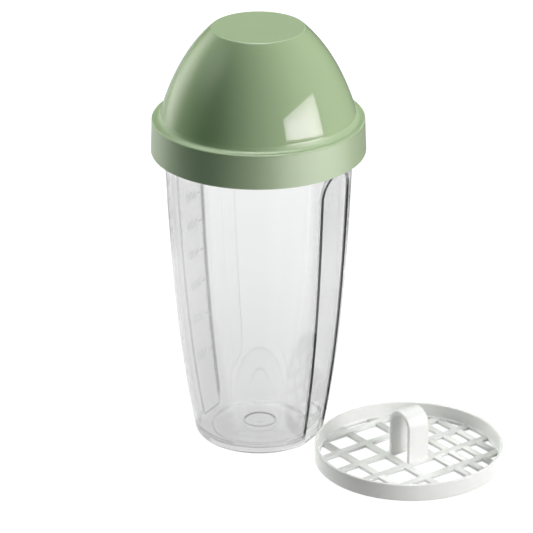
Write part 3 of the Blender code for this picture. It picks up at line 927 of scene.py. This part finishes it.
def build_sieve(material):
    """The white sieve: turned rim with a narrow flange, grid bars, webs at the border and the grip."""
    inner = SIEVE_RADIUS - SIEVE_RIM_WALL
    border = inner - GRID_BORDER
    rounding = SIEVE_RIM_ROUNDING
    grid_edge = GRID_THICKNESS - GRID_ROUNDING
    section = np.vstack([
        arc((border + GRID_ROUNDING, GRID_ROUNDING), GRID_ROUNDING, 180.0, 270.0, steps=3),
        arc((SIEVE_RADIUS - GRID_ROUNDING, GRID_ROUNDING), GRID_ROUNDING, 270.0, 360.0, steps=3),
        arc((SIEVE_RADIUS - rounding, SIEVE_HEIGHT - rounding), rounding, 0.0, 90.0),
        arc((inner + rounding, SIEVE_HEIGHT - rounding), rounding, 90.0, 180.0),
        arc((inner - rounding, GRID_THICKNESS + rounding), rounding, 0.0, -90.0, steps=3),
        arc((border + GRID_ROUNDING, grid_edge), GRID_ROUNDING, 90.0, 180.0, steps=3),
    ])
    rings = turned(hold_flats(section, loop=True), even_angles(), SIEVE_AXIS)
    rim = add_piece("sieve_rim", skin("sieve_rim", rings, "loop"), "sieve", material)
    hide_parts("sieve_insert")
    across = bars_between(grid_rows(), border, upright=True)
    along = bars_between(grid_columns(), border, upright=False)
    for name, meshes in (
        ("sieve_bars_across", across),
        ("sieve_bars_along", along),
        ("sieve_border_webs", closed_corners(border)),
    ):
        add_piece(name, join_meshes(name, meshes), "sieve", material)
    build_grip(material)


def build_grip(material):
    """The sieve's grip: a rounded strip carried up one leg, over a half circle and down the other.

    On the half circle the path is (r cos a, spring + r sin a), and the strip stays square to it.
    """
    half_span = ROW_OPENING / 2 + GRIP_SETBACK + GRIP_STRIP / 2
    spring = GRIP_TOP - GRIP_STRIP / 2 - half_span
    angles = np.radians(np.linspace(0.0, 180.0, GRIP_POINTS))
    path = np.column_stack((half_span * np.cos(angles), spring + half_span * np.sin(angles)))
    outward = np.column_stack((np.cos(angles), np.sin(angles)))
    foot = GRID_THICKNESS / 2
    for height in (spring - FLAT_MARGIN, foot + FLAT_MARGIN, foot):
        path = np.vstack(((half_span, height), path, (-half_span, height)))
        outward = np.vstack((outward[0], outward, outward[-1]))
    section = rounded_rectangle(GRIP_STRIP, GRIP_DEPTH, GRIP_ROUNDING, steps=4)
    rings = []
    for (x, z), (out_x, out_z) in zip(path, outward):
        thick = section[:, 0]
        rings.append(np.column_stack((x + thick * out_x, section[:, 1], z + thick * out_z)))
    mesh = skin("sieve_grip", on_sieve(np.array(rings)))
    add_piece("sieve_grip", mesh, "sieve", material)


def add_lamp(name, place, aim, size, power, colour=WHITE):
    """A rectangular soft box at a place, turned to look at a point."""
    light = bpy.data.lights.new(name, "AREA")
    light.shape = "RECTANGLE"
    light.size, light.size_y = size
    light.energy = power
    light.color = colour
    lamp = bpy.data.objects.new(name, light)
    bpy.context.scene.collection.objects.link(lamp)
    lamp.location = place
    lamp.rotation_euler = (Vector(aim) - Vector(place)).to_track_quat("-Z", "Y").to_euler()
    return lamp


def soft_box(name, bearing, rise, angles, glow, colour=WHITE, fade=(0.0, 0.0, 0.0, 0.0), least=0.0,
             swing=0.0, roll=0.0):
    """A soft box seen from the lid at a bearing and rise, with its two angles of view and its radiance.

    A box of the angles w and h at the distance d is 2 d tan(w / 2) wide, 2 d tan(h / 2) high, and its
    power is pi times its area times its radiance. It fades towards its edges over shares of its size,
    given for its left, right, lower and upper edge as the lid sees it, down to the least share. The swing
    turns it about its upright middle line and the roll about its line of sight.
    """
    aim = Vector((CUP_AXIS.x, CUP_AXIS.y, (LEDGE_HEIGHT + TOP_HEIGHT) / 2))
    lift = math.radians(rise)
    way = Vector(heading(bearing)) * math.cos(lift) + Vector((0.0, 0.0, math.sin(lift)))
    size = [2.0 * BOX_DISTANCE * math.tan(math.radians(angle) / 2) for angle in angles]
    power = math.pi * size[0] * size[1] * glow
    lamp = add_lamp(name, aim + way * BOX_DISTANCE, aim, size, power, colour)
    facing = lamp.rotation_euler.to_matrix()
    turned_by = Matrix.Rotation(math.radians(roll), 3, "Z") @ Matrix.Rotation(math.radians(swing), 3, "Y")
    lamp.rotation_euler = (facing @ turned_by).to_euler()
    if any(fade):
        lamp.data.use_nodes = True
        shading = Shading(name, lamp.data.node_tree, "Emission")
        place = shading.add("ShaderNodeTexCoord", output="UV")
        strength = None
        for axis, low, high in (("X", fade[1], fade[0]), ("Y", fade[2], fade[3])):
            share = shading.add("ShaderNodeSeparateXYZ", None, {"Vector": place}, axis)
            for value, width in ((share, low), (1.0 - share, high)):
                if width:
                    soft = shading.ramp(value, 0.0, width)
                    strength = soft if strength is None else strength * soft
        shading.finish(Strength=least + strength * (1.0 - least))
    return lamp


def build_lights():
    """Soft boxes round the lid, fills, and one small lamp over the sieve.

    The window and the right fill stand to the right, the left box and the left fill behind on the left,
    the side box to the left, and the crown and the top fill overhead. The window, the side box and the
    crown are only mirrored. The side fills and the sieve's lamp light dull surfaces only, and the left
    box and the top fill do both.
    """
    window = soft_box(
        "window_box",
        bearing=47.9,
        rise=15.2,
        angles=(55.1, 12.8),
        glow=10.4,
        colour=(1.0, 0.865, 1.0),
        fade=(0.15, 0.3, 0.0, 0.6),
        least=0.6,
        swing=42.7,
        roll=-2.9,
    )
    side = soft_box(
        "side_box",
        bearing=-85.0,
        rise=33.0,
        angles=(46.0, 46.0),
        glow=0.9,
        fade=(0.4, 0.4, 0.5, 0.4),
    )
    left = soft_box(
        "left_box",
        bearing=-127.0,
        rise=13.0,
        angles=(60.0, 62.0),
        glow=4.8,
        colour=(1.0, 0.98, 0.92),
        fade=(0.9, 0.75, 0.3, 0.6),
    )
    crown = soft_box(
        "crown_box",
        bearing=180.0,
        rise=84.0,
        angles=(40.0, 44.0),
        glow=15.0,
        fade=(0.3, 0.3, 0.3, 0.3),
    )
    right_fill = soft_box(
        "right_fill",
        bearing=62.0,
        rise=18.0,
        angles=(24.0, 40.0),
        glow=10.5,
    )
    left_fill = soft_box(
        "left_fill",
        bearing=-122.0,
        rise=8.0,
        angles=(26.0, 40.0),
        glow=7.2,
        colour=(0.96, 1.0, 0.96),
    )
    top_fill = soft_box(
        "top_fill",
        bearing=180.0,
        rise=64.0,
        angles=(70.0, 36.0),
        glow=2.8,
        colour=(0.95, 1.0, 0.95),
    )
    sieve_aim = Vector((SIEVE_AXIS.x, SIEVE_AXIS.y, 0.0))
    sieve_place = sieve_aim + Vector(SIEVE_LAMP_OFFSET)
    sieve_box = add_lamp("sieve_box", sieve_place, sieve_aim, SIEVE_LAMP_SIZE, SIEVE_LAMP_POWER)
    sieve_box.data.spread = math.radians(SIEVE_LAMP_SPREAD)
    for lamp in (right_fill, left_fill, sieve_box):
        lamp.visible_glossy = False
    for lamp in (window, side, crown):
        lamp.visible_diffuse = False
    for lamp in (window, side, left, crown, right_fill, left_fill, top_fill, sieve_box):
        lamp.visible_transmission = False


def build_world():
    """A dim greenish room for the light, white for the camera and a lit grey for the clear plastic."""
    world = bpy.data.worlds.new("studio")
    bpy.context.scene.world = world
    world.use_nodes = True
    shading = Shading("studio_light", world.node_tree, "Background")
    seen = shading.mix(shading.ray("Is Camera Ray"), ROOM_COLOUR, WHITE + (1.0,))
    seen = shading.mix(shading.clear_sight(), seen, (CLEAR_GLOW, CLEAR_GLOW, CLEAR_GLOW, 1.0))
    shading.finish(Color=seen, Strength=1.0)


def build_floor():
    """A wide pale floor that keeps the shadows: a dull grey, lifted to white for the camera.

    Reflections see it bright close to the cup, in a pool on the right, which lights dull surfaces a little
    too, and farther off in one behind on the left. The cosine of the angle between the way from the cup's
    axis and a pool's bearing says how bright. The clear plastic sees a grey that grows with the distance.
    """
    mesh = bpy.data.meshes.new("floor")
    signs = ((-1.0, -1.0), (1.0, -1.0), (1.0, 1.0), (-1.0, 1.0))
    corners = [(FLOOR_REACH * x, FLOOR_REACH * y, FLOOR_LEVEL) for x, y in signs]
    mesh.from_pydata(corners, [], [(0, 1, 2, 3)])
    floor = bpy.data.objects.new("floor", mesh)
    bpy.context.scene.collection.objects.link(floor)
    shading = Shading("pale_floor")
    offset = shading.vector("SUBTRACT", shading.place(), (CUP_AXIS.x, CUP_AXIS.y, FLOOR_LEVEL))
    distance = shading.vector("LENGTH", offset, output="Value")
    way = shading.vector("NORMALIZE", offset)
    to_pool = shading.vector("DOT_PRODUCT", way, heading(POOL_BEARING), "Value")
    to_back = shading.vector("DOT_PRODUCT", way, heading(BACK_BEARING), "Value")
    passed = shading.ramp(shading.ray("Transmission Depth"), 0.0, 1.0)
    direct = shading.ray("Is Glossy Ray") * (1.0 - passed)
    dull = shading.ray("Is Diffuse Ray")
    pool = shading.ramp(to_pool, *POOL_SPREAD) * (direct * POOL_LIFT + dull * POOL_DULL_SHARE)
    back = shading.ramp(to_back, *BACK_SPREAD) * shading.ramp(distance, *BACK_REACH) * direct * BACK_LIFT
    near = direct * (1.0 - shading.ramp(distance, *NEAR_REACH)) * NEAR_LIFT
    far = shading.ramp(distance, *FAR_REACH) * FAR_LIFT
    clear = shading.clear_sight() * (CLEAR_LIFT + shading.ramp(distance, *CLEAR_REACH) * CLEAR_FAR_LIFT)
    mesh.materials.append(shading.finish(
        Base_Color=(FLOOR_SHADE, FLOOR_SHADE, FLOOR_SHADE, 1.0),
        Roughness=0.95,
        Emission_Color=(1.0, 1.0, 1.0, 1.0),
        Emission_Strength=shading.ray("Is Camera Ray") * (FLOOR_LIFT + far) + clear + pool + back + near,
    ))


def build_camera():
    """The photograph's camera: level with the viewer's side, pitched down and rolled a little."""
    pitch = math.radians(CAMERA_PITCH)
    aim = Vector((CUP_AXIS.x + AIM_OFFSET, CUP_AXIS.y, AIM_HEIGHT))
    camera = bpy.data.objects.new("camera", bpy.data.cameras.new("camera"))
    bpy.context.scene.collection.objects.link(camera)
    camera.data.lens = CAMERA_LENS
    camera.data.sensor_width = SENSOR_WIDTH
    place = aim + Vector((0.0, -math.cos(pitch), math.sin(pitch))) * CAMERA_DISTANCE
    turn = Matrix.Rotation(math.pi / 2 - pitch, 4, "X") @ Matrix.Rotation(math.radians(CAMERA_ROLL), 4, "Z")
    camera.matrix_world = Matrix.Translation(place) @ turn
    bpy.context.scene.camera = camera


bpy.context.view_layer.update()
build_cup(clear_plastic())
build_scale(relief_plastic())
build_lid(green_plastic())
build_sieve(white_plastic())
build_lights()
build_world()
build_floor()
build_camera()
bpy.context.scene.view_settings.view_transform = "Standard"
